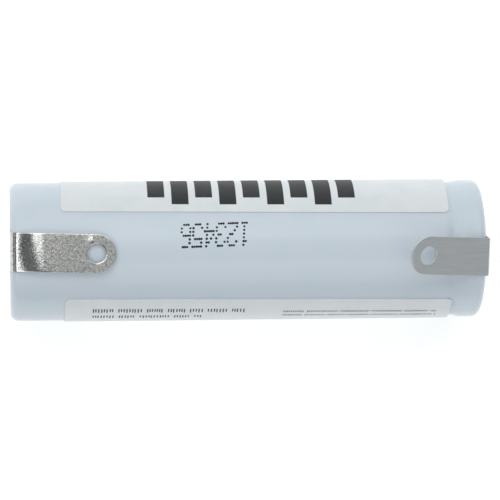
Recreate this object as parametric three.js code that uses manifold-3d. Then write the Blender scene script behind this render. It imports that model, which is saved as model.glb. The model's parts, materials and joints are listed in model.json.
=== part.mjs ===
// A cylindrical rechargeable cell of AA size with a folded solder tag on each end.
// Millimetres, +Z up. The cell lies along X with its positive end at +X and both tags on top.
// The origin is under the middle of the cell, on the surface that it lies on.

import * as THREE from "three";
import { mergeVertices } from "three/addons/utils/BufferGeometryUtils.js";
import Module from "manifold-3d";

const wasm = await Module();
wasm.setup();

// Driving dimensions
const LENGTH = 49.4; // over the outer faces of both tags
const SLEEVE_LENGTH = 49.15;
const SLEEVE_RADIUS = 7.2;
const SLEEVE_WALL = 0.12;
const LABEL_WALL = 0.09;
const CAN_RADIUS = 7.05;
const CAN_WALL = 0.25;
const TAG_WIDTH = 4;
const TAG_THICKNESS = 0.2;
const EYE_RADIUS = 0.97;
const SKIN_GAP = 0.02; // between pieces that touch on the real cell
const FACETS = 42; // round the cell, with one facet facing straight down

// Places along the cell
const NEGATIVE_END = -LENGTH / 2;
const POSITIVE_END = LENGTH / 2;
const SLEEVE_TOP = NEGATIVE_END + SLEEVE_LENGTH;
const LABEL_RADIUS = SLEEVE_RADIUS + SKIN_GAP + LABEL_WALL;
const AXIS_Z = LABEL_RADIUS;

const degrees = THREE.MathUtils.degToRad;

// Shared makers

// A solid of revolution round the cell's axis from points [radius, x]. Radii are those of the facets' middles.
function turned(profile, facets = FACETS) {
  const corner = 1 / Math.cos(Math.PI / facets);
  const points = profile.map(([radius, x]) => new THREE.Vector2(radius * corner, x));
  const onAxis = profile[0][0] === 0;
  if (THREE.ShapeUtils.isClockWise(points)) points.reverse();
  if (!onAxis) points.push(points[0].clone());
  const geometry = new THREE.LatheGeometry(points, facets, Math.PI / facets);
  return geometry.rotateZ(-Math.PI / 2);
}

// Points [radius, x] of a quarter turn round a corner, from one direction to another.
function cornerArc(radius, x, size, fromAngle, toAngle, steps = 3) {
  const points = [];
  for (let i = 0; i <= steps; i++) {
    const angle = fromAngle + ((toAngle - fromAngle) * i) / steps;
    points.push([radius + size * Math.cos(angle), x + size * Math.sin(angle)]);
  }
  return points;
}

// A closed geometry as a manifold-3d solid.
function solidOf(geometry) {
  const bare = geometry.clone();
  bare.deleteAttribute("normal");
  bare.deleteAttribute("uv");
  const merged = mergeVertices(bare, 1e-4);
  const triVerts = new Uint32Array(merged.index.array);
  const vertProperties = merged.attributes.position.array;
  return new wasm.Manifold(new wasm.Mesh({ numProp: 3, vertProperties, triVerts }));
}

// A manifold-3d solid as a geometry.
function geometryOf(solid) {
  const { vertProperties, triVerts } = solid.getMesh();
  const geometry = new THREE.BufferGeometry();
  geometry.setAttribute("position", new THREE.BufferAttribute(new Float32Array(vertProperties), 3));
  geometry.setIndex(new THREE.BufferAttribute(new Uint32Array(triVerts), 1));
  geometry.computeVertexNormals();
  return geometry;
}

function cut(geometry, tools) {
  return geometryOf(tools.reduce((left, tool) => left.subtract(solidOf(tool)), solidOf(geometry)));
}

// A flat strip bent along a line of [x, z] points, its width along Y. The line is the middle of its thickness.
function ribbon(line, thickness, width) {
  const points = line.map(([x, z]) => new THREE.Vector2(x, z));
  const sides = [[], []];
  points.forEach((point, i) => {
    const before = points[Math.max(i - 1, 0)];
    const after = points[Math.min(i + 1, points.length - 1)];
    const into = point.clone().sub(before);
    const out = after.clone().sub(point);
    if (i === 0) into.copy(out);
    if (i === points.length - 1) out.copy(into);
    const along = into.normalize().add(out.normalize()).normalize();
    const half = thickness / 2 / Math.max(along.dot(out), 0.5);
    sides[0].push(new THREE.Vector2(point.x - along.y * half, point.y + along.x * half));
    sides[1].unshift(new THREE.Vector2(point.x + along.y * half, point.y - along.x * half));
  });
  const shape = new THREE.Shape([...sides[0], ...sides[1]]);
  const geometry = new THREE.ExtrudeGeometry(shape, { depth: width, bevelEnabled: false });
  return geometry.translate(0, 0, -width / 2).rotateX(Math.PI / 2);
}

// A flat plate in the XY plane, from z = 0 down to minus its thickness.
function plate(shape, thickness, curveSegments = 10) {
  const geometry = new THREE.ExtrudeGeometry(shape, { depth: thickness, bevelEnabled: false, curveSegments });
  return geometry.translate(0, 0, -thickness);
}

// The outline of a tag's free end: a strip along -X from start to its round tip, with its eye.
function tagOutline(start, tip) {
  const half = TAG_WIDTH / 2;
  const shape = new THREE.Shape();
  shape.moveTo(start, -half);
  shape.lineTo(start, half);
  shape.lineTo(tip + half, half);
  shape.absarc(tip + half, 0, half, Math.PI / 2, (3 * Math.PI) / 2, false);
  shape.closePath();
  const eye = new THREE.Path();
  eye.absarc(tip + half, 0, EYE_RADIUS, 0, 2 * Math.PI, false);
  shape.holes.push(eye);
  return shape;
}

const cell = new THREE.Group();
const core = new THREE.Group(); // holds everything that is placed on the cell's own axis
core.position.z = AXIS_Z;
cell.add(core);

function place(parent, name, geometry, color, roughness, metalness) {
  const material = new THREE.MeshStandardMaterial({ color, roughness, metalness });
  const mesh = new THREE.Mesh(geometry, material);
  mesh.name = name;
  parent.add(mesh);
  return mesh;
}

// Can: a deep-drawn cup, grooved below its mouth and rolled in over the gasket

const CAN_BOTTOM = NEGATIVE_END + 0.25;
const CAN_RIM = SLEEVE_TOP - 0.365;
const CAN_CORNER = 0.65;
const RIM_CORNER = 0.7;
const RIM_INNER_RADIUS = 5.4;
const BEAD = SLEEVE_TOP - 2.8; // the middle of the groove
const BEAD_RADIUS = 6.15;
const BORE = CAN_RADIUS - CAN_WALL;

const beadOutside = [
  [CAN_RADIUS, BEAD - 0.925],
  [CAN_RADIUS - 0.15, BEAD - 0.525],
  [BEAD_RADIUS, BEAD - 0.275],
  [BEAD_RADIUS, BEAD + 0.275],
  [CAN_RADIUS - 0.15, BEAD + 0.525],
  [CAN_RADIUS, BEAD + 0.925],
];
const beadInside = [
  [BORE, BEAD + 0.985],
  [BORE - 0.14, BEAD + 0.685],
  [BEAD_RADIUS - CAN_WALL, BEAD + 0.455],
  [BEAD_RADIUS - CAN_WALL, BEAD - 0.455],
  [BORE - 0.14, BEAD - 0.685],
  [BORE, BEAD - 0.985],
];

const can = turned([
  [0, CAN_BOTTOM],
  ...cornerArc(CAN_RADIUS - CAN_CORNER, CAN_BOTTOM + CAN_CORNER, CAN_CORNER, -Math.PI / 2, 0),
  ...beadOutside,
  ...cornerArc(CAN_RADIUS - RIM_CORNER, CAN_RIM - RIM_CORNER, RIM_CORNER, 0, Math.PI / 2),
  [RIM_INNER_RADIUS, CAN_RIM],
  [RIM_INNER_RADIUS, CAN_RIM - CAN_WALL],
  ...cornerArc(CAN_RADIUS - RIM_CORNER, CAN_RIM - RIM_CORNER, RIM_CORNER - CAN_WALL, Math.PI / 2, 0),
  ...beadInside,
  [BORE, CAN_BOTTOM + 0.7],
  [BORE - 0.35, CAN_BOTTOM + 0.3],
  [0, CAN_BOTTOM + 0.3],
]);
place(core, "can", can, "#b9bcbd", 0.35, 1);

// Electrode coil: two electrodes and two separators wound together, with an open core

const CORE_RADIUS = 1.3;
const COIL_STEPS = 24; // points in each turn
const SEPARATOR = 0.13;
const POSITIVE_PLATE = 0.62;
const NEGATIVE_PLATE = 0.36;
const PITCH = 2 * SEPARATOR + POSITIVE_PLATE + NEGATIVE_PLATE + 4 * SKIN_GAP;
const COIL_CLOCK = degrees(70); // puts the coil's heavier side down, as a cell comes to rest

// One layer of the coil. Its inside lies at inset from the start of its turn; from and to count turns.
function coilLayer(inset, thickness, from, to, bottom, top) {
  const steps = Math.round((to - from) * COIL_STEPS);
  const inner = [];
  const outer = [];
  for (let i = 0; i <= steps; i++) {
    const turn = from + ((to - from) * i) / steps;
    const radius = CORE_RADIUS + inset + PITCH * turn;
    const direction = new THREE.Vector2(Math.cos(2 * Math.PI * turn), Math.sin(2 * Math.PI * turn));
    inner.push(direction.clone().multiplyScalar(radius));
    outer.unshift(direction.clone().multiplyScalar(radius + thickness));
  }
  const shape = new THREE.Shape([...inner, ...outer]);
  const geometry = new THREE.ExtrudeGeometry(shape, { depth: top - bottom, bevelEnabled: false });
  return geometry.rotateY(Math.PI / 2).rotateX(COIL_CLOCK).translate(bottom, 0, 0);
}

const COIL_BOTTOM = CAN_BOTTOM + 0.6;
const COLLECTOR_BOTTOM = BEAD - 1.775;
const SEPARATOR_TOP = COLLECTOR_BOTTOM - 0.3;
const POSITIVE_INSET = SEPARATOR + SKIN_GAP;
const OUTER_SEPARATOR_INSET = POSITIVE_INSET + POSITIVE_PLATE + SKIN_GAP;
const NEGATIVE_INSET = OUTER_SEPARATOR_INSET + SEPARATOR + SKIN_GAP;

const separatorColor = "#e9e8e0";
place(
  core,
  "inner_separator",
  coilLayer(0, SEPARATOR, 0, 3.25, COIL_BOTTOM, SEPARATOR_TOP),
  separatorColor,
  0.95,
  0,
);
place(
  core,
  "positive_electrode",
  coilLayer(POSITIVE_INSET, POSITIVE_PLATE, 0.25, 3, COIL_BOTTOM + 1, COLLECTOR_BOTTOM - SKIN_GAP),
  "#2f3a38",
  0.9,
  0,
);
place(
  core,
  "outer_separator",
  coilLayer(OUTER_SEPARATOR_INSET, SEPARATOR, 0, 3.25, COIL_BOTTOM, SEPARATOR_TOP),
  separatorColor,
  0.95,
  0,
);
place(
  core,
  "negative_electrode",
  coilLayer(NEGATIVE_INSET, NEGATIVE_PLATE, 0, 3.125, COIL_BOTTOM + 0.6, SEPARATOR_TOP - 0.7),
  "#4a4b4d",
  0.8,
  0.3,
);

// Insulating discs below and above the coil

const INSULATOR_RADIUS = BORE - 0.1;
const bottomInsulator = turned([
  [0, CAN_BOTTOM + 0.3 + SKIN_GAP],
  [BORE - 0.4, CAN_BOTTOM + 0.3 + SKIN_GAP],
  [BORE - 0.4, COIL_BOTTOM - SKIN_GAP],
  [0, COIL_BOTTOM - SKIN_GAP],
]);
place(core, "bottom_insulator", bottomInsulator, "#d9d2bd", 0.8, 0);

const UPPER_INSULATOR_BOTTOM = BEAD - 1.375;
const UPPER_INSULATOR_BORE = 3.4;
const upperInsulator = turned([
  [UPPER_INSULATOR_BORE, UPPER_INSULATOR_BOTTOM],
  [INSULATOR_RADIUS, UPPER_INSULATOR_BOTTOM],
  [INSULATOR_RADIUS, UPPER_INSULATOR_BOTTOM + 0.3],
  [UPPER_INSULATOR_BORE, UPPER_INSULATOR_BOTTOM + 0.3],
]);
place(core, "upper_insulator", upperInsulator, "#d9d2bd", 0.8, 0);

// Positive collector: a slotted disc welded to the positive electrode's bare edge

const COLLECTOR_THICKNESS = 0.2;
const COLLECTOR_RADIUS = 5.9;
const COLLECTOR_TOP = COLLECTOR_BOTTOM + COLLECTOR_THICKNESS;
const collectorDisc = turned([
  [1.3, COLLECTOR_BOTTOM],
  [COLLECTOR_RADIUS, COLLECTOR_BOTTOM],
  [COLLECTOR_RADIUS, COLLECTOR_TOP],
  [1.3, COLLECTOR_TOP],
]);
const collectorSlots = [45, 135, 225, 315].map((angle) =>
  new THREE.BoxGeometry(2, 0.7, 3)
    .translate(COLLECTOR_BOTTOM, 0, 3.7)
    .rotateX(degrees(angle)),
);
place(core, "positive_collector", cut(collectorDisc, collectorSlots), "#c4c6c7", 0.35, 1);

// Lid: the sealing plate, dished in the middle round its vent hole

const LID_BOTTOM = BEAD + 1.245;
const LID_THICKNESS = 0.5;
const LID_TOP = LID_BOTTOM + LID_THICKNESS;
const LID_RADIUS = 6.25;
const DISH_DEPTH = 0.4;
const VENT_RADIUS = 0.5;
const lid = turned([
  [VENT_RADIUS, LID_BOTTOM - DISH_DEPTH],
  [1.9, LID_BOTTOM - DISH_DEPTH],
  [2.2, LID_BOTTOM],
  [LID_RADIUS, LID_BOTTOM],
  [LID_RADIUS, LID_TOP],
  [2.1, LID_TOP],
  [1.8, LID_TOP - DISH_DEPTH],
  [VENT_RADIUS, LID_TOP - DISH_DEPTH],
]);
place(core, "lid_plate", lid, "#c4c6c7", 0.3, 1);

// Collector lead: a ribbon from the collector, up through the upper insulator, to the underside of the lid

const LEAD_THICKNESS = 0.15;
const LEAD_WIDTH = 3.2;
const leadFoot = COLLECTOR_TOP + SKIN_GAP + LEAD_THICKNESS / 2;
const leadHead = LID_BOTTOM - SKIN_GAP - LEAD_THICKNESS / 2;
const lead = ribbon(
  [
    [leadFoot, -4.6],
    [leadFoot, -2.6],
    [leadFoot + 0.1, -2.3],
    [leadFoot + 0.45, -1.9],
    [leadHead - 0.9, 1.95],
    [leadHead - 0.3, 2.65],
    [leadHead, 3],
    [leadHead, 4.4],
  ],
  LEAD_THICKNESS,
  LEAD_WIDTH,
);
place(core, "collector_lead", lead, "#c4c6c7", 0.3, 1);

// Gasket: a nylon ring that wraps the lid's edge inside the rolled rim

const GASKET_RADIUS = BORE - 0.05;
const GASKET_INNER_RADIUS = 5.3;
const GASKET_TOP = CAN_RIM - CAN_WALL - 0.04;
const GASKET_BOTTOM = BEAD + 0.745;
const gasket = turned([
  [GASKET_INNER_RADIUS, GASKET_BOTTOM],
  [6.45, GASKET_BOTTOM],
  [GASKET_RADIUS, GASKET_BOTTOM + 0.3],
  ...cornerArc(GASKET_RADIUS - 0.41, GASKET_TOP - 0.41, 0.41, 0, Math.PI / 2, 2),
  [GASKET_INNER_RADIUS, GASKET_TOP],
  [GASKET_INNER_RADIUS, LID_TOP + SKIN_GAP],
  [LID_RADIUS + 0.03, LID_TOP + SKIN_GAP],
  [LID_RADIUS + 0.03, LID_BOTTOM - SKIN_GAP],
  [GASKET_INNER_RADIUS, LID_BOTTOM - SKIN_GAP],
]);
place(core, "sealing_gasket", gasket, "#26282a", 0.55, 0);

// Terminal cap: a drawn steel hat welded on the lid, with vent slots in its wall

const CAP_TOP = POSITIVE_END - TAG_THICKNESS - SKIN_GAP;
const CAP_WALL = 0.25;
const CAP_BOTTOM = LID_TOP + SKIN_GAP;
const CAP_RADIUS = 2.75;
const terminalCap = turned([
  [0, CAP_TOP - CAP_WALL],
  [CAP_RADIUS - CAP_WALL, CAP_TOP - CAP_WALL],
  [CAP_RADIUS - CAP_WALL, CAP_BOTTOM],
  [4.6, CAP_BOTTOM],
  [4.6, CAP_BOTTOM + CAP_WALL],
  [CAP_RADIUS + 0.15, CAP_BOTTOM + CAP_WALL],
  [CAP_RADIUS, CAP_BOTTOM + 0.4],
  [CAP_RADIUS, CAP_TOP - 0.2],
  [CAP_RADIUS - 0.2, CAP_TOP],
  [0, CAP_TOP],
]);
const capSlots = [30, 150, 270].map((angle) =>
  new THREE.BoxGeometry(0.3, 0.8, 2)
    .translate(CAP_BOTTOM + 0.5, 0, CAP_RADIUS)
    .rotateX(degrees(angle)),
);
place(core, "terminal_cap", cut(terminalCap, capSlots), "#c9cbcc", 0.25, 1);

// Vent plug: the rubber that closes the vent hole and lifts off it under pressure

const PLUG_BOTTOM = LID_TOP - DISH_DEPTH + SKIN_GAP;
const PLUG_RADIUS = 1.45;
const PLUG_LIFT = 0.2;
const PLUG_TOP = CAP_TOP - CAP_WALL - PLUG_LIFT - 0.05;
const ventPlug = turned(
  [
    [0, PLUG_BOTTOM],
    [PLUG_RADIUS, PLUG_BOTTOM],
    [PLUG_RADIUS, PLUG_TOP - 0.2],
    [PLUG_RADIUS - 0.2, PLUG_TOP],
    [0, PLUG_TOP],
  ],
  22,
);
place(core, "vent_plug", ventPlug, "#1d1e1f", 0.7, 0);

// Insulating washer: a card ring on the rolled rim, under the sleeve's lip

const WASHER_TOP = SLEEVE_TOP - SLEEVE_WALL - SKIN_GAP;
const washer = turned([
  [3.3, CAN_RIM + SKIN_GAP],
  [6.2, CAN_RIM + SKIN_GAP],
  [6.2, WASHER_TOP],
  [3.3, WASHER_TOP],
]);
place(core, "insulating_washer", washer, "#e6e4dc", 0.9, 0);

// Negative tag: a strip welded across the can's bottom, rolled over the corner, then nearly flat along the cell.
// Its line starts straight up the end, turns through cornerTurn on a tight radius and levels out on a wide one.

const FOOT_REACH = 2.4; // how far each tag's foot goes past the cell's axis
const TAG_CORNER = 0.9; // bend radius to the middle of the strip
const cornerTurn = degrees(75);
const EASE_RADIUS = 11;
const easeTurn = Math.PI / 2 - cornerTurn;
const NEGATIVE_TIP = NEGATIVE_END + 10.8;
const stripX = NEGATIVE_END + TAG_THICKNESS / 2;
const bendCentre = [stripX + TAG_CORNER, 6.35];

// A point of the tight bend, at an angle of turn from the straight foot.
function bendPoint(turn, radius = TAG_CORNER) {
  return [bendCentre[0] - radius * Math.cos(turn), bendCentre[1] + radius * Math.sin(turn)];
}

function bendPoints(from, to, steps = 3) {
  return Array.from({ length: steps + 1 }, (_, i) => bendPoint(from + ((to - from) * i) / steps));
}

const NEGATIVE_SLANT = degrees(1.5); // the strip's slant across the bend
const foldTurn = cornerTurn / 2; // the strip's foot and leaf meet here, half-way round the tight bend
const foldGap = 0.01 / TAG_CORNER; // half the gap between them, as an angle
const [foldX, foldZ] = bendPoint(foldTurn);
const negativeFootBend = ribbon(
  [[stripX, -FOOT_REACH], ...bendPoints(0, foldTurn - foldGap)],
  TAG_THICKNESS,
  TAG_WIDTH + 1,
);
const negativeFootWidth = new THREE.BoxGeometry(4, TAG_WIDTH, 24)
  .rotateX(NEGATIVE_SLANT)
  .translate(foldX, 0, foldZ);
const negativeFoot = geometryOf(solidOf(negativeFootBend).intersect(solidOf(negativeFootWidth)));
place(core, "negative_tag_foot", negativeFoot, "#c8c8c4", 0.3, 1);

const [easeStartX, easeStartZ] = bendPoint(cornerTurn);
const easePoints = [1, 2, 3, 4].map((i) => {
  const left = easeTurn * (1 - i / 4); // the slope still to lose
  return [
    easeStartX + EASE_RADIUS * (Math.sin(easeTurn) - Math.sin(left)),
    easeStartZ + EASE_RADIUS * (Math.cos(left) - Math.cos(easeTurn)),
  ];
});
const leafLevel = easePoints[3][1];
const negativeLeafBend = ribbon(
  [...bendPoints(foldTurn + foldGap, cornerTurn), ...easePoints, [NEGATIVE_TIP + 1, leafLevel]],
  TAG_THICKNESS,
  TAG_WIDTH + 1,
);
const negativeOutline = plate(tagOutline(2, foldX - NEGATIVE_TIP), 12)
  .rotateZ(Math.PI - NEGATIVE_SLANT)
  .translate(foldX, 0, 12);
const negativeLeaf = geometryOf(solidOf(negativeLeafBend).intersect(solidOf(negativeOutline)));
place(core, "negative_tag_leaf", negativeLeaf, "#c8c8c4", 0.3, 1);

// Positive tag: a strip welded across the cap and folded sharply back over the cell, its leaf still standing up.
// The fold's group has its origin on the fold's outer edge and its Y axis along that edge.

const FOLD_HEIGHT = 7.165; // from the cell's axis, along the foot
const FOLD_CLOCK = degrees(17); // the fold line's slope across the cell
const FOLD_SKEW = degrees(9.3); // the strip's slant across the fold line
const LEAF_RISE = degrees(26); // how far the leaf stands up from flat
const LEAF_CLOSED = degrees(23); // its rise once it touches the rim of the sleeve
const LEAF_LENGTH = 9.75;
const MITRE_GAP = 0.007;
const footClock = FOLD_CLOCK - FOLD_SKEW;

const fold = new THREE.Group();
fold.position.set(
  POSITIVE_END,
  -FOLD_HEIGHT * Math.sin(footClock),
  FOLD_HEIGHT * Math.cos(footClock),
);
fold.rotation.x = FOLD_CLOCK;
core.add(fold);

// The space past the mitre where foot and leaf meet when the fold is closed.
function mitreTool(side, angle) {
  const size = 8;
  return new THREE.BoxGeometry(size, 4 * TAG_WIDTH, size)
    .translate(side * (size / 2 - MITRE_GAP), 0, 0)
    .rotateY(angle);
}

const leafBlank = plate(tagOutline(3, -LEAF_LENGTH), TAG_THICKNESS).rotateZ(-FOLD_SKEW);
const positiveLeaf = place(
  fold,
  "positive_tag_leaf",
  cut(leafBlank, [mitreTool(1, (Math.PI / 2 - LEAF_CLOSED) / 2)]),
  "#c8c8c4",
  0.3,
  1,
);
positiveLeaf.rotation.y = LEAF_RISE;

const footLength = FOLD_HEIGHT + FOOT_REACH;
const footBlank = new THREE.BoxGeometry(TAG_THICKNESS, TAG_WIDTH, footLength + 2)
  .translate(-TAG_THICKNESS / 2, 0, 1 - footLength / 2)
  .rotateX(-FOLD_SKEW);
const footMitre = mitreTool(-1, (Math.PI / 2 + LEAF_CLOSED) / 2);
place(fold, "positive_tag_foot", cut(footBlank, [footMitre]), "#c8c8c4", 0.3, 1);

// Sleeve: shrunk film over the can, with a lip turned in at each end and a notch where the negative tag passes

const SLEEVE_CORNER = 0.85;
const LIP_RADIUS = 5.2;
const NEGATIVE_LIP = 0.22; // the film gathers thicker here
const grooveOutside = [
  [SLEEVE_RADIUS, BEAD - 0.925],
  [SLEEVE_RADIUS - 0.12, BEAD - 0.475],
  [SLEEVE_RADIUS - 0.15, BEAD],
  [SLEEVE_RADIUS - 0.12, BEAD + 0.475],
  [SLEEVE_RADIUS, BEAD + 0.925],
];
const grooveInside = grooveOutside.map(([radius, x]) => [radius - SLEEVE_WALL, x]).reverse();
const cornerRadius = SLEEVE_RADIUS - SLEEVE_CORNER;
const sleeveTube = turned([
  [LIP_RADIUS, NEGATIVE_END],
  ...cornerArc(cornerRadius, NEGATIVE_END + SLEEVE_CORNER, SLEEVE_CORNER, -Math.PI / 2, 0),
  ...grooveOutside,
  ...cornerArc(cornerRadius, SLEEVE_TOP - SLEEVE_CORNER, SLEEVE_CORNER, 0, Math.PI / 2),
  [LIP_RADIUS, SLEEVE_TOP],
  [LIP_RADIUS, SLEEVE_TOP - SLEEVE_WALL],
  ...cornerArc(
    cornerRadius,
    SLEEVE_TOP - SLEEVE_CORNER,
    SLEEVE_CORNER - SLEEVE_WALL,
    Math.PI / 2,
    0,
  ),
  ...grooveInside,
  ...cornerArc(
    CAN_RADIUS - CAN_CORNER,
    CAN_BOTTOM + CAN_CORNER,
    CAN_CORNER + 0.03,
    0,
    -Math.PI / 2,
  ),
  [LIP_RADIUS, NEGATIVE_END + NEGATIVE_LIP],
]);
const notch = ribbon(
  [[stripX, 3], ...bendPoints(0, cornerTurn), ...easePoints.slice(0, 2)],
  TAG_THICKNESS + 0.2,
  TAG_WIDTH + 0.2,
).translate(0.05, 0, -0.05);
place(core, "outer_sleeve", cut(sleeveTube, [notch]), "#d3dee6", 0.3, 0);

// Label: a wrapped sheet that stops short of the tags, open along the top

const LABEL_START = NEGATIVE_END + 5.4;
const LABEL_LENGTH = 40;
const GAP_FRONT = degrees(45); // from straight up, towards -Y
const GAP_BACK = degrees(35); // from straight up, towards +Y
const facet = (2 * Math.PI) / FACETS;

// Points of the label's section at one radius, at the two cut edges and at every corner of the facets between.
function labelArc(radius) {
  const corner = radius / Math.cos(facet / 2);
  const angles = [];
  for (let angle = facet / 2; angle < 2 * Math.PI; angle += facet) {
    if (angle > GAP_BACK + 0.02 && angle < 2 * Math.PI - GAP_FRONT - 0.02) angles.push(angle);
  }
  const onFacet = (angle) => {
    const offset = (((angle % facet) + facet) % facet) - (angle % facet >= facet / 2 ? facet : 0);
    return radius / Math.cos(offset);
  };
  const points = [[GAP_BACK, onFacet(GAP_BACK)]];
  angles.forEach((angle) => points.push([angle, corner]));
  points.push([2 * Math.PI - GAP_FRONT, onFacet(2 * Math.PI - GAP_FRONT)]);
  return points.map(([angle, r]) => new THREE.Vector2(r * Math.sin(angle), r * Math.cos(angle)));
}

const labelSection = new THREE.Shape([
  ...labelArc(LABEL_RADIUS),
  ...labelArc(LABEL_RADIUS - LABEL_WALL).reverse(),
]);
const label = new THREE.ExtrudeGeometry(labelSection, { depth: LABEL_LENGTH, bevelEnabled: false })
  .rotateY(Math.PI / 2)
  .rotateX(Math.PI / 2)
  .translate(LABEL_START, 0, 0);
place(core, "wrap_label", label, "#e3e8e9", 0.5, 0);

export default cell;
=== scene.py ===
"""A cylindrical rechargeable cell of AA size with a folded solder tag on each end.

Meshes are drawn in millimetres round the cell's own axis, and each is turned to metres as it is finished.
The cell lies along X with its positive end at +X.
"""

import json
import math
import random

import bmesh
import bpy
from mathutils import Matrix, Vector, noise


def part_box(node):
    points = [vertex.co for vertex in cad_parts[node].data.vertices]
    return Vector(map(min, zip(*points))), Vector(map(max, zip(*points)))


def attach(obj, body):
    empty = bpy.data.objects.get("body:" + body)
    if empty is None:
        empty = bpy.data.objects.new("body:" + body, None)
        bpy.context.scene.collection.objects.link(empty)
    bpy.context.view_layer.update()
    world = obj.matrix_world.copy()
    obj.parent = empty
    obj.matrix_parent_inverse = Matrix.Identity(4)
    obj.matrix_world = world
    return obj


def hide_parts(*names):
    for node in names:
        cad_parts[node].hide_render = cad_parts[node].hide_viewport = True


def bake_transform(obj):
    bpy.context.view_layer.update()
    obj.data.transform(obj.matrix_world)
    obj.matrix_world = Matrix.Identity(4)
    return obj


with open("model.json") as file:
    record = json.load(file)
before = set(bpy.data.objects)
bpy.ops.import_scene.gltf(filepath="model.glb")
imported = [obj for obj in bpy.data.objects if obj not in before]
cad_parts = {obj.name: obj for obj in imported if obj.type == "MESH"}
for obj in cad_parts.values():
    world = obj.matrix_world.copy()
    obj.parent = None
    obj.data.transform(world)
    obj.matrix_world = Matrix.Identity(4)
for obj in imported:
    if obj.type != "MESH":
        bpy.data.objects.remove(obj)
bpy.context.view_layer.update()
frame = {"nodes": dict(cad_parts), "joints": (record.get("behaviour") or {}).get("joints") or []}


# Can: a cup deep-drawn from nickel-plated steel, 0.25 mm thick. A groove is rolled in below its mouth,
# and the rim is curled in over the gasket. Only its bottom and its rim stay bare.

MM = 0.001  # metres in a millimetre
ROUND_STEPS = 168  # faces round each turned piece

sleeve_low, sleeve_high = [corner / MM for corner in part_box("outer_sleeve")]
negative_end = sleeve_low.x
sleeve_top = sleeve_high.x
axis_height = (sleeve_low.z + sleeve_high.z) / 2
positive_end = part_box("positive_tag_foot")[1].x / MM

CAN_RADIUS = 7.05
CAN_WALL = 0.25
CAN_BORE = CAN_RADIUS - CAN_WALL
CAN_CORNER = 0.65
RIM_CORNER = 1.2
MOUTH_RADIUS = 5.4
GROOVE_RADIUS = 6.2  # at the groove's deepest
GROOVE_FLAT = 0.3  # half the width of its floor
GROOVE_MOUTH = 0.925  # half its width at the can's surface
can_bottom = negative_end + 0.25
can_rim = sleeve_top - 0.365
groove = sleeve_top - 2.8  # the middle of the rolled groove


def linear(code):
    """A colour's linear values from its sRGB hex code."""
    levels = [int(code[place : place + 2], 16) / 255 for place in (1, 3, 5)]
    return [v / 12.92 if v <= 0.04045 else ((v + 0.055) / 1.055) ** 2.4 for v in levels] + [1]


def across(size):
    """The scale that repeats a pattern about once in a size in millimetres."""
    return 1 / (size * MM)


def new_material(name):
    """An empty material, and the socket that gives a place on the object, for its patterns."""
    made = bpy.data.materials.new(name)
    made.use_nodes = True
    made.node_tree.nodes.clear()
    return made, made.node_tree.nodes.new("ShaderNodeTexCoord").outputs["Object"]


def add(material, kind, inputs, stops=()):
    """Adds a shader node and sets or links its inputs. Stops are a colour ramp's.

    A node given as an input stands for its first output.
    """
    made = material.node_tree.nodes.new("ShaderNode" + kind)
    for name, value in inputs.items():
        if isinstance(value, bpy.types.Node):
            value = value.outputs[0]
        if isinstance(value, bpy.types.NodeSocket):
            material.node_tree.links.new(value, made.inputs[name])
        else:
            made.inputs[name].default_value = value
    for index, (place, code) in enumerate(stops):
        ramp = made.color_ramp.elements
        stop = ramp[index] if index < 2 else ramp.new(place)
        stop.position = place
        stop.color = linear(code)
    return made


def rounded(corners, steps=5):
    """The points of an outline of (radius, x) corners. A third number rounds its corner with an arc."""
    points = []
    for index, corner in enumerate(corners):
        here = Vector(corner[:2])
        if len(corner) < 3:
            points.append(here)
            continue
        back = (Vector(corners[index - 1][:2]) - here).normalized()
        on = (Vector(corners[(index + 1) % len(corners)][:2]) - here).normalized()
        half = back.angle(on) / 2
        centre = here + (back + on).normalized() * corner[2] / math.sin(half)
        first = (here + back * corner[2] / math.tan(half) - centre).normalized()
        last = (here + on * corner[2] / math.tan(half) - centre).normalized()
        for step in range(steps + 1):
            points.append(centre + first.slerp(last, step / steps) * corner[2])
    return points


def turned(outline, steps=ROUND_STEPS):
    """A solid of revolution round the cell's axis from a closed outline of (radius, x) points."""
    mesh = bmesh.new()
    rings = []
    for radius, x in outline:
        turns = [2 * math.pi * step / steps for step in range(steps if radius > 1e-6 else 1)]
        rings.append([mesh.verts.new((x, radius * math.sin(t), radius * math.cos(t))) for t in turns])
    for ring, following in zip(rings, rings[1:] + rings[:1]):
        for step in range(steps if len(ring) + len(following) > 2 else 0):
            pairs = [(ring, step), (ring, step + 1), (following, step + 1), (following, step)]
            mesh.faces.new(dict.fromkeys(points[place % len(points)] for points, place in pairs))
    bmesh.ops.recalc_face_normals(mesh, faces=mesh.faces)
    return mesh


def piece(name, mesh, material, crease=30):
    """An object from a mesh in millimetres round the cell's axis, smooth up to a crease in degrees."""
    data = bpy.data.meshes.new(name)
    mesh.to_mesh(data)
    mesh.free()
    data.transform(Matrix.Translation((0, 0, axis_height * MM)) @ Matrix.Scale(MM, 4))
    data.shade_smooth()
    data.set_sharp_from_angle(angle=math.radians(crease))
    data.materials.append(material)
    made = bpy.data.objects.new(name, data)
    bpy.context.collection.objects.link(made)
    return made


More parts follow.
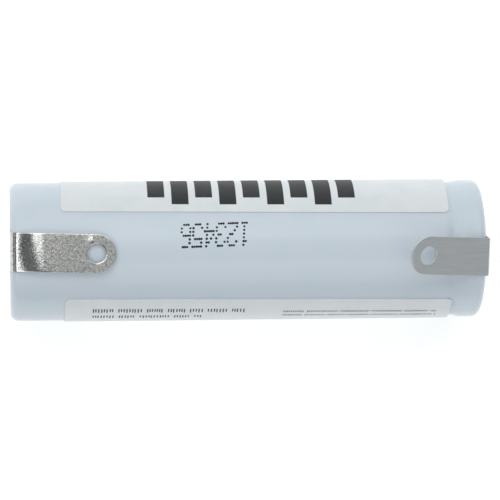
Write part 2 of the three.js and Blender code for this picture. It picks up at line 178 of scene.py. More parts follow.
# Nickel-plated drawn steel: a mirror dulled by fine draw lines along the can, with a faint warm cast.
drawn_nickel, place = new_material("nickel_plated_drawn_steel")
stretched = add(drawn_nickel, "Mapping", {"Vector": place, "Scale": (0.04, 1, 1)})
draw_lines = add(drawn_nickel, "TexNoise", {"Vector": stretched, "Scale": across(0.12), "Detail": 4})
plating = add(drawn_nickel, "TexNoise", {"Vector": place, "Scale": across(3), "Detail": 3})
cast = add(drawn_nickel, "ValToRGB", {"Fac": plating}, stops=[(0.3, "#bdbdb9"), (0.7, "#cfcfca")])
dulling = add(drawn_nickel, "MapRange", {"Value": draw_lines, "To Min": 0.2, "To Max": 0.36})
scratches = add(drawn_nickel, "Bump", {"Height": draw_lines, "Strength": 0.5, "Distance": 0.002 * MM})
steel = add(
    drawn_nickel,
    "BsdfPrincipled",
    {"Base Color": cast, "Metallic": 1, "Roughness": dulling, "Normal": scratches},
)
add(drawn_nickel, "OutputMaterial", {"Surface": steel})

can_outline = [
    (0, can_bottom),
    (3, can_bottom),
    (CAN_RADIUS, can_bottom, CAN_CORNER),
    (CAN_RADIUS, groove - GROOVE_MOUTH, 0.5),
    (GROOVE_RADIUS, groove - GROOVE_FLAT, 0.2),
    (GROOVE_RADIUS, groove + GROOVE_FLAT, 0.2),
    (CAN_RADIUS, groove + GROOVE_MOUTH, 0.5),
    (CAN_RADIUS, can_rim, RIM_CORNER),
    (MOUTH_RADIUS, can_rim, 0.1),
    (MOUTH_RADIUS, can_rim - CAN_WALL, 0.1),
    (CAN_BORE, can_rim - CAN_WALL, RIM_CORNER - CAN_WALL),
    (CAN_BORE, groove + 1.0, 0.3),
    (GROOVE_RADIUS - CAN_WALL, groove + 0.48, 0.2),
    (GROOVE_RADIUS - CAN_WALL, groove - 0.48, 0.2),
    (CAN_BORE, groove - 1.0, 0.3),
    (CAN_BORE, can_bottom + 0.3, 0.4),
    (0, can_bottom + 0.3),
]
can = piece("drawn_can", turned(rounded(can_outline)), drawn_nickel)
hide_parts("can")
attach(can, "cell")


# Bottom insulator: a disc punched from pressed fibre board. It lies on the can's bottom, under the electrode
# coil, and keeps the positive plate off the can.

LAYER_GAP = 0.02  # between pieces that touch
coil_bottom = can_bottom + 0.6
insulator_bottom = can_bottom + 0.3 + LAYER_GAP
insulator_radius = CAN_BORE - 0.4

# Pressed fibre board: matte and buff, flecked with fibres about 0.3 mm long, with a slight tooth.
fibre_board, place = new_material("pressed_fibre_board")
fibres = add(
    fibre_board,
    "TexNoise",
    {"Vector": place, "Scale": across(0.3), "Detail": 8, "Distortion": 1.5},
)
flecks = add(
    fibre_board,
    "ValToRGB",
    {"Fac": fibres},
    stops=[(0.35, "#b9ab8a"), (0.55, "#d8ceb2"), (0.75, "#e4dcc6")],
)
tooth = add(fibre_board, "Bump", {"Height": fibres, "Strength": 0.4, "Distance": 0.02 * MM})
board = add(
    fibre_board,
    "BsdfPrincipled",
    {"Base Color": flecks, "Roughness": 0.85, "IOR": 1.5, "Normal": tooth},
)
add(fibre_board, "OutputMaterial", {"Surface": board})

bottom_insulator_outline = [
    (0, insulator_bottom),
    (insulator_radius, insulator_bottom, 0.05),
    (insulator_radius, coil_bottom - LAYER_GAP, 0.05),
    (0, coil_bottom - LAYER_GAP),
]
bottom_insulator = piece("bottom_insulator_disc", turned(rounded(bottom_insulator_outline)), fibre_board)
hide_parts("bottom_insulator")
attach(bottom_insulator, "cell")


# Electrode coil: a positive and a negative plate wound together with two strips of separator felt.
# The positive plate is nickel foam filled with paste, the negative one alloy powder on a punched strip.

SEPARATOR = 0.13
POSITIVE_PLATE = 0.62
NEGATIVE_PLATE = 0.36
CORE_RADIUS = 1.3
COIL_CLOCK = math.radians(70)
COIL_STEPS = 72  # points in each turn
SEPARATOR_TURNS = 3.25
winding = 2 * SEPARATOR + POSITIVE_PLATE + NEGATIVE_PLATE + 4 * LAYER_GAP
positive_inset = SEPARATOR + LAYER_GAP
outer_inset = positive_inset + POSITIVE_PLATE + LAYER_GAP
negative_inset = outer_inset + SEPARATOR + LAYER_GAP
collector_bottom = groove - 1.775
separator_top = collector_bottom - 0.3


def join(mesh, ring, following):
    """Faces that join a closed ring of points to the following one."""
    for step in range(len(ring)):
        on = (step + 1) % len(ring)
        mesh.faces.new((ring[step], ring[on], following[on], following[step]))


def coil_layer(inset, thickness, first, last, bottom, top):
    """One layer of the coil, from one number of turns to another. Its inside lies at inset in its turn."""
    mesh = bmesh.new()
    count = round((last - first) * COIL_STEPS)
    sections = []
    for step in range(count + 1):
        turn = first + (last - first) * step / count
        angle = 2 * math.pi * turn + COIL_CLOCK
        inside = CORE_RADIUS + inset + winding * turn
        corners = [(inside, bottom), (inside + thickness, bottom), (inside + thickness, top), (inside, top)]
        sections.append([mesh.verts.new((x, r * math.sin(angle), -r * math.cos(angle))) for r, x in corners])
    for before, after in zip(sections, sections[1:]):
        join(mesh, before, after)
    mesh.faces.new(sections[0])
    mesh.faces.new(sections[-1])
    bmesh.ops.recalc_face_normals(mesh, faces=mesh.faces)
    return mesh


# Separator felt: white non-woven fibres, each drawn 0.05 mm thick, matte with a soft nap.
felt, place = new_material("non_woven_separator_felt")
tangle = add(felt, "TexNoise", {"Vector": place, "Scale": across(0.25), "Detail": 10, "Distortion": 3})
shade = add(felt, "ValToRGB", {"Fac": tangle}, stops=[(0.3, "#cfcec6"), (0.7, "#f1f0ea")])
nap = add(felt, "Bump", {"Height": tangle, "Strength": 0.6, "Distance": 0.03 * MM})
cloth = add(
    felt,
    "BsdfPrincipled",
    {"Base Color": shade, "Roughness": 0.95, "Sheen Weight": 0.2, "Normal": nap},
)
add(felt, "OutputMaterial", {"Surface": cloth})

# Pasted nickel foam: dark green-grey paste in pores of 0.4 mm, with specks of bare nickel.
paste, place = new_material("pasted_nickel_foam")
pores = add(paste, "TexVoronoi", {"Vector": place, "Scale": across(0.4)})
filling = add(
    paste,
    "ValToRGB",
    {"Fac": pores},
    stops=[(0.2, "#27312d"), (0.6, "#38443f"), (0.8, "#7b827f")],
)
pitting = add(paste, "Bump", {"Height": pores, "Strength": 0.5, "Distance": 0.05 * MM})
foam = add(
    paste,
    "BsdfPrincipled",
    {"Base Color": filling, "Roughness": 0.85, "Metallic": 0.2, "Normal": pitting},
)
add(paste, "OutputMaterial", {"Surface": foam})

# Pressed alloy powder: grey grains of 0.05 mm, drawn 0.1 mm across so that they show, with a dull glitter.
powder, place = new_material("pressed_alloy_powder")
grains = add(powder, "TexVoronoi", {"Vector": place, "Scale": across(0.1)})
tones = add(powder, "ValToRGB", {"Fac": grains.outputs["Color"]}, stops=[(0.1, "#3b3c3e"), (0.9, "#5f6062")])
roughened = add(powder, "Bump", {"Height": grains, "Strength": 0.5, "Distance": 0.02 * MM})
grit = add(
    powder,
    "BsdfPrincipled",
    {"Base Color": tones, "Roughness": 0.7, "Metallic": 0.5, "Normal": roughened},
)
add(powder, "OutputMaterial", {"Surface": grit})

positive_bottom = coil_bottom + 1
positive_top = collector_bottom - LAYER_GAP
negative_bottom = coil_bottom + 0.6
negative_top = separator_top - 0.7
inner = coil_layer(0, SEPARATOR, 0, SEPARATOR_TURNS, coil_bottom, separator_top)
positive = coil_layer(positive_inset, POSITIVE_PLATE, 0.25, 3, positive_bottom, positive_top)
outer = coil_layer(outer_inset, SEPARATOR, 0, SEPARATOR_TURNS, coil_bottom, separator_top)
negative = coil_layer(negative_inset, NEGATIVE_PLATE, 0, 3.125, negative_bottom, negative_top)
for layer, name, material, node, slot in (
    (inner, "inner_separator_strip", felt, "inner_separator", "separator_felt"),
    (positive, "positive_plate", paste, "positive_electrode", "positive_paste"),
    (outer, "outer_separator_strip", felt, "outer_separator", "separator_felt"),
    (negative, "negative_plate", powder, "negative_electrode", "negative_alloy"),
):
    strip = piece(name, layer, material)
    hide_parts(node)
    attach(strip, "cell")


# Upper insulator: a ring punched from the same board. It lies between the collector and the groove, and
# keeps the collector off the can.

RING_BORE = 3.4
ring_radius = CAN_BORE - 0.1
ring_bottom = groove - 1.375
ring_top = groove - 1.075
upper_insulator_outline = [
    (RING_BORE, ring_bottom, 0.05),
    (ring_radius, ring_bottom, 0.05),
    (ring_radius, ring_top, 0.05),
    (RING_BORE, ring_top, 0.05),
]
upper_insulator = piece("upper_insulator_ring", turned(rounded(upper_insulator_outline)), fibre_board)
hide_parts("upper_insulator")
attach(upper_insulator, "cell")


# Collector and lead: a slotted disc stamped from nickel-plated steel and welded on the positive plate's
# edge, and the ribbon that carries its current to the lid.

# Nickel-plated stamped steel: satin, rolled one way, with a fine grain of 0.1 mm.
stamped_nickel, place = new_material("nickel_plated_stamped_steel")
rolled = add(stamped_nickel, "Mapping", {"Vector": place, "Scale": (1, 0.2, 1)})
rolling = add(stamped_nickel, "TexNoise", {"Vector": rolled, "Scale": across(0.1), "Detail": 5})
tint = add(stamped_nickel, "ValToRGB", {"Fac": rolling}, stops=[(0.3, "#b7b7b3"), (0.7, "#c9c9c5")])
satin = add(stamped_nickel, "MapRange", {"Value": rolling, "To Min": 0.25, "To Max": 0.42})
grain = add(stamped_nickel, "Bump", {"Height": rolling, "Strength": 0.4, "Distance": 0.003 * MM})
stamping = add(
    stamped_nickel,
    "BsdfPrincipled",
    {"Base Color": tint, "Metallic": 1, "Roughness": satin, "Normal": grain},
)
add(stamped_nickel, "OutputMaterial", {"Surface": stamping})

for node in ("positive_collector", "collector_lead"):
    frame["nodes"][node].data.materials.clear()
    frame["nodes"][node].data.materials.append(stamped_nickel)


# Lid: the sealing plate, pressed from nickel-plated steel 0.5 mm thick, with a dish round its vent hole.
# The rolled rim holds its edge, with the gasket between them.

LID_RADIUS = 6.25
DISH_DEPTH = 0.4
VENT_RADIUS = 0.5
lid_bottom = groove + 1.245
lid_top = lid_bottom + 0.5

# Nickel-plated pressed steel: brighter than the can, with a fine orange peel of 0.2 mm from the press.
pressed_nickel, place = new_material("nickel_plated_pressed_steel")
peel = add(pressed_nickel, "TexNoise", {"Vector": place, "Scale": across(0.2), "Detail": 3})
hue = add(pressed_nickel, "ValToRGB", {"Fac": peel}, stops=[(0.3, "#c3c3bf"), (0.7, "#d2d2ce")])
gloss = add(pressed_nickel, "MapRange", {"Value": peel, "To Min": 0.16, "To Max": 0.3})
dimpling = add(pressed_nickel, "Bump", {"Height": peel, "Strength": 0.3, "Distance": 0.003 * MM})
pressing = add(
    pressed_nickel,
    "BsdfPrincipled",
    {"Base Color": hue, "Metallic": 1, "Roughness": gloss, "Normal": dimpling},
)
add(pressed_nickel, "OutputMaterial", {"Surface": pressing})

lid_outline = [
    (VENT_RADIUS, lid_bottom - DISH_DEPTH, 0.05),
    (1.9, lid_bottom - DISH_DEPTH, 0.15),
    (2.2, lid_bottom, 0.1),
    (LID_RADIUS, lid_bottom, 0.1),
    (LID_RADIUS, lid_top, 0.1),
    (2.1, lid_top, 0.15),
    (1.8, lid_top - DISH_DEPTH, 0.1),
    (VENT_RADIUS, lid_top - DISH_DEPTH, 0.05),
]
lid = piece("sealing_lid", turned(rounded(lid_outline)), pressed_nickel)
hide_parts("lid_plate")
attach(lid, "cell")


# Gasket: a ring moulded from black nylon. It wraps the lid's edge inside the rolled rim, seals the cell
# and keeps the lid off the can.

GASKET_RADIUS = 6.75
GASKET_BORE = 5.3
gasket_bottom = groove + 0.745
gasket_top = can_rim - CAN_WALL - 0.04

# Moulded black nylon: half-matte, with a faint flow mottle about 0.8 mm across.
nylon, place = new_material("moulded_black_nylon")
flow = add(nylon, "TexNoise", {"Vector": place, "Scale": across(0.8), "Detail": 4})
black = add(nylon, "ValToRGB", {"Fac": flow}, stops=[(0.3, "#202224"), (0.7, "#2e3033")])
moulding = add(nylon, "BsdfPrincipled", {"Base Color": black, "Roughness": 0.5, "IOR": 1.53})
add(nylon, "OutputMaterial", {"Surface": moulding})

gasket_outline = [
    (GASKET_BORE, gasket_bottom, 0.1),
    (GASKET_RADIUS - 0.3, gasket_bottom, 0.1),
    (GASKET_RADIUS, gasket_bottom + 0.3, 0.1),
    (GASKET_RADIUS, gasket_top, 0.93),
    (GASKET_BORE, gasket_top, 0.1),
    (GASKET_BORE, lid_top + LAYER_GAP, 0.05),
    (LID_RADIUS + 0.03, lid_top + LAYER_GAP, 0.08),
    (LID_RADIUS + 0.03, lid_bottom - LAYER_GAP, 0.08),
    (GASKET_BORE, lid_bottom - LAYER_GAP, 0.05),
]
gasket = piece("nylon_gasket", turned(rounded(gasket_outline)), nylon)
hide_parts("sealing_gasket")
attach(gasket, "cell")


# Terminal cap: a hat drawn from nickel-plated steel 0.25 mm thick, with three gas slots in its wall.
# Its brim is welded on the lid.

CAP_RADIUS = 2.75
CAP_WALL = 0.25
BRIM_RADIUS = 4.6
SLOT_SIZE = (0.3, 0.8, 2)
TAG_THICKNESS = 0.2  # the positive tag is welded on the cap's top
cap_top = positive_end - TAG_THICKNESS - LAYER_GAP
cap_bottom = lid_top + LAYER_GAP

cap_mesh = turned(
    rounded(
        [
            (0, cap_top),
            (1.2, cap_top),
            (CAP_RADIUS, cap_top, 0.25),
            (CAP_RADIUS, cap_bottom + CAP_WALL, 0.12),
            (BRIM_RADIUS, cap_bottom + CAP_WALL, 0.08),
            (BRIM_RADIUS, cap_bottom, 0.08),
            (CAP_RADIUS - CAP_WALL, cap_bottom, 0.05),
            (CAP_RADIUS - CAP_WALL, cap_top - CAP_WALL, 0.1),
            (0, cap_top - CAP_WALL),
        ]
    )
)
cap = piece("drawn_terminal_cap", cap_mesh, pressed_nickel)
for turn in (30, 150, 270):
    slot_mesh = bmesh.new()
    bmesh.ops.create_cube(
        slot_mesh,
        size=1,
        matrix=Matrix.Rotation(math.radians(turn), 4, "X")
        @ Matrix.Translation((cap_bottom + 0.5, 0, CAP_RADIUS))
        @ Matrix.Diagonal((*SLOT_SIZE, 1)),
    )
    slot_tool = piece("slot_tool", slot_mesh, pressed_nickel)
    cutting = cap.modifiers.new("slot", "BOOLEAN")
    cutting.object = slot_tool
    cutting.solver = "EXACT"
    cut_cap = bpy.data.meshes.new_from_object(cap.evaluated_get(bpy.context.evaluated_depsgraph_get()))
    cap.modifiers.clear()
    cap.data = cut_cap
    bpy.data.objects.remove(slot_tool)
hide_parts("terminal_cap")
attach(cap, "cell")


# Vent plug: a button moulded from black rubber and held between the lid and the cap. It closes the vent
# hole, and gas under pressure lifts it off.

PLUG_RADIUS = 1.45

# Moulded rubber: black and matte, with a fine tooth of 0.15 mm.
rubber, place = new_material("moulded_black_rubber")
bloom = add(rubber, "TexNoise", {"Vector": place, "Scale": across(0.15), "Detail": 6})
dark = add(rubber, "ValToRGB", {"Fac": bloom}, stops=[(0.3, "#191a1b"), (0.7, "#262728")])
skin = add(rubber, "Bump", {"Height": bloom, "Strength": 0.4, "Distance": 0.01 * MM})
button = add(rubber, "BsdfPrincipled", {"Base Color": dark, "Roughness": 0.75, "IOR": 1.52, "Normal": skin})
add(rubber, "OutputMaterial", {"Surface": button})

plug_low, plug_high = [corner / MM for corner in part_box("vent_plug")]
plug_outline = [
    (0, plug_low.x),
    (PLUG_RADIUS, plug_low.x, 0.1),
    (PLUG_RADIUS, plug_high.x, 0.25),
    (0, plug_high.x),
]
plug = piece("vent_plug_button", turned(rounded(plug_outline), steps=72), rubber)
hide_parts("vent_plug")
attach(plug, "vent")


# Insulating washer: a ring punched from white calendered card. It lies on the rolled rim, under the
# sleeve's lip, and keeps the positive tag off the can.

WASHER_RADIUS = 5.9
WASHER_BORE = 3.3
washer_bottom = can_rim + LAYER_GAP
washer_top = sleeve_top - 0.14

# Calendered card: white and matte, with soft fibre clouds of 0.5 mm.
card, place = new_material("calendered_white_card")
clouds = add(card, "TexNoise", {"Vector": place, "Scale": across(0.5), "Detail": 8})
white = add(card, "ValToRGB", {"Fac": clouds}, stops=[(0.3, "#dcdad0"), (0.7, "#eceae2")])
fuzz = add(card, "Bump", {"Height": clouds, "Strength": 0.3, "Distance": 0.01 * MM})
paper = add(card, "BsdfPrincipled", {"Base Color": white, "Roughness": 0.85, "Normal": fuzz})
add(card, "OutputMaterial", {"Surface": paper})

washer_outline = [
    (WASHER_BORE, washer_bottom, 0.04),
    (WASHER_RADIUS, washer_bottom, 0.04),
    (WASHER_RADIUS, washer_top, 0.04),
    (WASHER_BORE, washer_top, 0.04),
]
washer = piece("card_washer", turned(rounded(washer_outline)), card)
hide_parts("insulating_washer")
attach(washer, "cell")


# Negative tag: nickel-plated steel strip, 4 mm by 0.2 mm, with a round tip and a punched eye. It is
# spot-welded to the can's bottom, rolled over the corner on a 0.9 mm bend and eased level on a wide one,
# which left it a little twisted.

TAG_WIDTH = 4
EYE_RADIUS = 0.97
FOOT_REACH = 2.4  # how far each foot goes past the cell's axis
WELD_SPACING = 1.6
WELD_RADIUS = 0.45
WELD_DEPTH = 0.035
EDGE_ROUND = 0.035
TAG_COLUMNS = 24  # faces across the strip
ROW_SIZES = (0.16, 0.05, 0.2)  # of the faces along the foot, the bend and the leaf
SIDE_STEPS = 12  # faces along each side of the tip
TIP_STEPS = 48  # faces round the tip
EYE_RINGS = 6


def eased(share):
    """A share held between 0 and 1, and eased at both ends."""
    share = min(max(share, 0), 1)
    return share * share * (3 - 2 * share)


def bent(line, start, length):
    """The x, height and heading at a length along a bent line. A heading turns from straight up to +X."""
    x, height = start
    heading = 0
    for index, (stretch, turn) in enumerate(line):
        share = length / stretch if index == len(line) - 1 else min(length / stretch, 1)
        turned_by = turn * share
        if turn == 0:
            x += stretch * share * math.sin(heading)
            height += stretch * share * math.cos(heading)
        else:
            radius = stretch / turn
            x += radius * (math.cos(heading) - math.cos(heading + turned_by))
            height += radius * (math.sin(heading + turned_by) - math.sin(heading))
            heading += turned_by
        length -= stretch * share
        if length <= 0:
            break
    return x, height, heading


def tag_blank(eye_place, fine_from, fine_to):
    """A flat tag from its foot's end at 0 past its eye, with short faces where it will bend."""
    mesh = bmesh.new()
    half = TAG_WIDTH / 2
    straight = eye_place - half
    stops = [0, fine_from, fine_to, straight]
    rows = [0.0]
    for first, last, size in zip(stops, stops[1:], ROW_SIZES):
        count = max(1, math.ceil((last - first) / size))
        rows += [first + (last - first) * step / count for step in range(1, count + 1)]
    columns = [half * (1 - 2 * step / TAG_COLUMNS) for step in range(TAG_COLUMNS + 1)]
    grid = [[mesh.verts.new((row, column, 0)) for column in columns] for row in rows]
    for before, after in zip(grid, grid[1:]):
        for side in range(TAG_COLUMNS):
            mesh.faces.new((before[side], after[side], after[side + 1], before[side + 1]))
    sides = [straight + half * step / SIDE_STEPS for step in range(1, SIDE_STEPS + 1)]
    border = [mesh.verts.new((place, -half, 0)) for place in sides]
    for step in range(1, TIP_STEPS):
        angle = math.pi * (step / TIP_STEPS - 0.5)
        border.append(mesh.verts.new((eye_place + half * math.cos(angle), half * math.sin(angle), 0)))
    border += [mesh.verts.new((place, half, 0)) for place in reversed(sides)]
    first_ring = grid[-1] + border
    ring = first_ring
    centre = Vector((eye_place, 0, 0))
    for step in range(1, EYE_RINGS + 1):
        share = step / EYE_RINGS
        inner = []
        for outer in first_ring:
            edge = centre + (outer.co - centre).normalized() * EYE_RADIUS
            inner.append(mesh.verts.new(outer.co.lerp(edge, share)))
        for side in range(len(ring)):
            following = (side + 1) % len(ring)
            mesh.faces.new((ring[following], ring[side], inner[side], inner[following]))
        ring = inner
    return mesh


def tag_sheet(blank):
    """The blank given its thickness and its rounded edges."""
    data = bpy.data.meshes.new("blank")
    blank.to_mesh(data)
    blank.free()
    flat = bpy.data.objects.new("blank", data)
    bpy.context.collection.objects.link(flat)
    thick = flat.modifiers.new("thickness", "SOLIDIFY")
    thick.thickness = TAG_THICKNESS
    thick.offset = 0
    rolled_edge = flat.modifiers.new("edge", "BEVEL")
    rolled_edge.width = EDGE_ROUND
    rolled_edge.segments = 2
    rolled_edge.limit_method = "ANGLE"
    rolled_edge.angle_limit = math.radians(40)
    sheet = bmesh.new()
    sheet.from_object(flat, bpy.context.evaluated_depsgraph_get())
    bpy.data.objects.remove(flat)
    return sheet


def weld_dent(along, sideways):
    """How deep the four spot welds press the foot in."""
    nearest = math.hypot(abs(along - FOOT_REACH) - WELD_SPACING / 2, abs(sideways) - WELD_SPACING / 2)
    return WELD_DEPTH * (0.5 + 0.5 * math.cos(math.pi * min(nearest / WELD_RADIUS, 1)))


def bend_tag(sheet, line, start, fold_place, slant, outward, waves):
    """Bends a flat tag along a line. Outward is the side, along X, that the foot faces."""
    for vertex in sheet.verts:
        along, sideways, depth = vertex.co
        past = along - fold_place
        length = fold_place + past * math.cos(slant) - sideways * math.sin(slant)
        x, height, heading = bent(line, start, length)
        depth += waves(past, sideways) - weld_dent(along, sideways)
        vertex.co = (
            x + outward * math.cos(heading) * depth,
            past * math.sin(slant) + sideways * math.cos(slant),
            height - outward * math.sin(heading) * depth,
        )
    bmesh.ops.recalc_face_normals(sheet, faces=sheet.faces)
    return sheet


# Dull nickel plate: worm-like crystals of 0.1 mm, drawn 0.2 mm across so that they show, which sparkle
# where the bends catch the light.
grained_nickel, place = new_material("grained_nickel_plate")
crystals = add(
    grained_nickel,
    "TexNoise",
    {"Vector": place, "Scale": across(0.2), "Detail": 1, "Distortion": 1.2},
)
sparkle = add(
    grained_nickel,
    "ValToRGB",
    {"Fac": crystals},
    stops=[(0.34, "#a6a9a8"), (0.5, "#c4c5c2"), (0.66, "#dfdeda")],
)
blur = add(grained_nickel, "MapRange", {"Value": crystals, "To Min": 0.07, "To Max": 0.17})
relief = add(grained_nickel, "Bump", {"Height": crystals, "Strength": 1, "Distance": 0.005 * MM})
grained_metal = add(
    grained_nickel,
    "BsdfPrincipled",
    {"Base Color": sparkle, "Metallic": 1, "Roughness": blur, "Normal": relief},
)
add(grained_nickel, "OutputMaterial", {"Surface": grained_metal})

ROLL_RADIUS = 0.9
ROLL_TURN = math.radians(75)
EASE_RADIUS = 11
EASE_TURN = math.radians(15)
TWIST = 0.032  # radians, reached where the strip is level
TWIST_START = 0.6  # past the middle of the roll
TWIST_LENGTH = 2.9
EDGE_CURL = 0.05
CREASE_HEIGHT = 0.04
CREASE_PLACE = (8.4, 1.4)  # past the middle of the roll, and sideways
CREASE_SIZE = 0.5
NEGATIVE_SLANT = math.radians(-1.5)
ROLL_HEIGHT = 6.35  # where the roll starts, above the cell's axis
roll_start = FOOT_REACH + ROLL_HEIGHT
negative_line = [
    (roll_start, 0),
    (ROLL_RADIUS * ROLL_TURN, ROLL_TURN),
    (EASE_RADIUS * EASE_TURN, EASE_TURN),
    (8, 0),
]
negative_start = (negative_end + TAG_THICKNESS / 2, -FOOT_REACH)
negative_fold = roll_start + ROLL_RADIUS * ROLL_TURN / 2
level_start = sum(stretch for stretch, turn in negative_line[:3])
negative_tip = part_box("negative_tag_leaf")[1].x / MM
tip_place = level_start + negative_tip - bent(negative_line, negative_start, level_start)[0]


def negative_waves(past, sideways):
    """How far the strip stands off its line: a twist, edges curled by the roll, a crease by the eye."""
    twist = -TWIST * sideways * eased((past - TWIST_START) / TWIST_LENGTH)
    curl = -EDGE_CURL * (2 * sideways / TAG_WIDTH) ** 2 * math.exp(-((max(past, 0) / 2.5) ** 2))
    from_crease = math.dist((past, sideways), CREASE_PLACE) / CREASE_SIZE
    return twist + curl + CREASE_HEIGHT * math.exp(-(from_crease**2))


negative_tag = piece(
    "negative_tag",
    bend_tag(
        tag_sheet(tag_blank(tip_place - TAG_WIDTH / 2, roll_start - 0.2, level_start + 0.2)),
        negative_line,
        negative_start,
        negative_fold,
        NEGATIVE_SLANT,
        -1,
        negative_waves,
    ),
    grained_nickel,
    crease=50,
)
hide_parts("negative_tag_foot", "negative_tag_leaf")
foot_x, foot_height, _ = bent(negative_line, negative_start, roll_start)
leaf_x, leaf_height, _ = bent(negative_line, negative_start, roll_start + ROLL_RADIUS * ROLL_TURN)
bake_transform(negative_tag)


# Positive tag: the same strip, spot-welded to the cap and folded sharply at the end of the cell, with its
# leaf still standing up.

# Bright nickel plate on rolled strip: an even grey mirror, dulled by fine rolling lines along the strip.
rolled_nickel, place = new_material("rolled_nickel_plate")
stretched = add(rolled_nickel, "Mapping", {"Vector": place, "Scale": (0.06, 1, 0.06)})
roll_lines = add(rolled_nickel, "TexNoise", {"Vector": stretched, "Scale": across(0.16), "Detail": 3})
shade = add(rolled_nickel, "ValToRGB", {"Fac": roll_lines}, stops=[(0.3, "#babfc1"), (0.7, "#c5c9ca")])
blur = add(rolled_nickel, "MapRange", {"Value": roll_lines, "To Min": 0.24, "To Max": 0.36})
relief = add(rolled_nickel, "Bump", {"Height": roll_lines, "Strength": 0.6, "Distance": 0.003 * MM})
rolled_metal = add(
    rolled_nickel,
    "BsdfPrincipled",
    {"Base Color": shade, "Metallic": 1, "Roughness": blur, "Normal": relief},
)
add(rolled_nickel, "OutputMaterial", {"Surface": rolled_metal})

fold_joint = next(joint for joint in frame["joints"] if joint["name"] == "positive_tag_fold")
fold_edge = Vector(fold_joint["pos_m"]) / MM - Vector((0, 0, axis_height))
fold_clock = math.atan2(fold_joint["axis"][2], fold_joint["axis"][1])
FOLD_RADIUS = 0.2  # to the middle of the strip
FOLD_SLANT = math.radians(9.3)
LEAF_RISE = math.radians(26)
LEAF_LENGTH = 9.75
fold_turn = LEAF_RISE - math.pi / 2
corner_cut = (FOLD_RADIUS + TAG_THICKNESS / 2) * math.tan(-fold_turn / 2)
fold_height = math.hypot(fold_edge.y, fold_edge.z)
fold_start = FOOT_REACH + fold_height - corner_cut
fold_length = FOLD_RADIUS * -fold_turn
positive_line = [(fold_start, 0), (fold_length, fold_turn), (12, 0)]
positive_fold = fold_start + fold_length / 2
positive_tip = positive_fold + fold_length / 2 + LEAF_LENGTH - corner_cut
positive_mesh = bend_tag(
    tag_sheet(tag_blank(positive_tip - TAG_WIDTH / 2, positive_fold - 0.7, positive_fold + 0.7)),
    positive_line,
    (-TAG_THICKNESS / 2, -FOOT_REACH - fold_height),
    positive_fold,
    FOLD_SLANT,
    1,
    lambda past, sideways: 0,
)
positive_mesh.transform(Matrix.Translation(fold_edge) @ Matrix.Rotation(fold_clock, 4, "X"))
positive_tag = piece("positive_tag", positive_mesh, rolled_nickel, crease=50)
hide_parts("positive_tag_foot", "positive_tag_leaf")
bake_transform(positive_tag)


# Sleeve: PVC film shrunk over the can, its ends gathered into lips. It follows the groove softly,
# and the lip is pressed thin where the negative tag crosses it.

SLEEVE_RADIUS = 7.2
SLEEVE_WALL = 0.12
SLEEVE_CORNER = 0.85
CRIMP_CORNER = 0.8  # where the film rounds the curled rim
LIP_RADIUS = 5.2
GROOVE_DEPTH = 0.25
GROOVE_NEAR = 0.45  # the groove's half-width on the barrel's side
GROOVE_FAR = 1.5  # and on the rim's side
LIP_WRINKLES = 26
WRINKLE_HEIGHT = 0.04
SLACK = 0.014  # the most that the film hangs off the can
PRESSED_WIDTH = 4.9  # of the film that the negative tag holds down
PRESSED_EDGE = 0.35
PRESSED_GAP = 0.008  # left under the tag
CORNER_STEPS = 12
BARREL_STEPS = 120

sleeve_outside = [(LIP_RADIUS + 0.23 * step, negative_end) for step in range(5)]
for step in range(CORNER_STEPS + 1):
    turn = math.pi / 2 * step / CORNER_STEPS
    sleeve_outside.append(
        (
            SLEEVE_RADIUS - SLEEVE_CORNER * (1 - math.sin(turn)),
            negative_end + SLEEVE_CORNER * (1 - math.cos(turn)),
        )
    )
barrel_start = negative_end + SLEEVE_CORNER
barrel_end = sleeve_top - CRIMP_CORNER
groove_deepest = groove - 0.65  # the film sags most beside the can's near shoulder
for step in range(1, BARREL_STEPS):
    x = barrel_start + (barrel_end - barrel_start) * step / BARREL_STEPS
    reach = GROOVE_NEAR if x < groove_deepest else GROOVE_FAR
    dip = GROOVE_DEPTH * (1 - eased(abs(x - groove_deepest) / reach))
    sleeve_outside.append((SLEEVE_RADIUS - dip, x))
for step in range(CORNER_STEPS + 1):
    turn = math.pi / 2 * step / CORNER_STEPS
    sleeve_outside.append(
        (SLEEVE_RADIUS - CRIMP_CORNER * (1 - math.cos(turn)), barrel_end + CRIMP_CORNER * math.sin(turn))
    )
sleeve_outside += [(LIP_RADIUS + 0.2 * step, sleeve_top) for step in (2, 1, 0)]
sleeve_inside = rounded(
    [
        (LIP_RADIUS, sleeve_top - SLEEVE_WALL),
        (SLEEVE_RADIUS - SLEEVE_WALL, sleeve_top - SLEEVE_WALL, CRIMP_CORNER - SLEEVE_WALL),
        (SLEEVE_RADIUS - SLEEVE_WALL, groove + 0.9),
        (SLEEVE_RADIUS - SLEEVE_WALL - GROOVE_DEPTH, groove_deepest + 0.1),
        (CAN_RADIUS + 0.01, groove_deepest - 0.3),
        (CAN_RADIUS + 0.01, can_bottom - 0.01, CAN_CORNER + 0.01),
        (LIP_RADIUS, can_bottom - 0.01),
    ],
    steps=8,
)
outside_count = len(sleeve_outside) * ROUND_STEPS
sleeve_mesh = turned(sleeve_outside + [tuple(point) for point in sleeve_inside])
sleeve_mesh.verts.ensure_lookup_table()

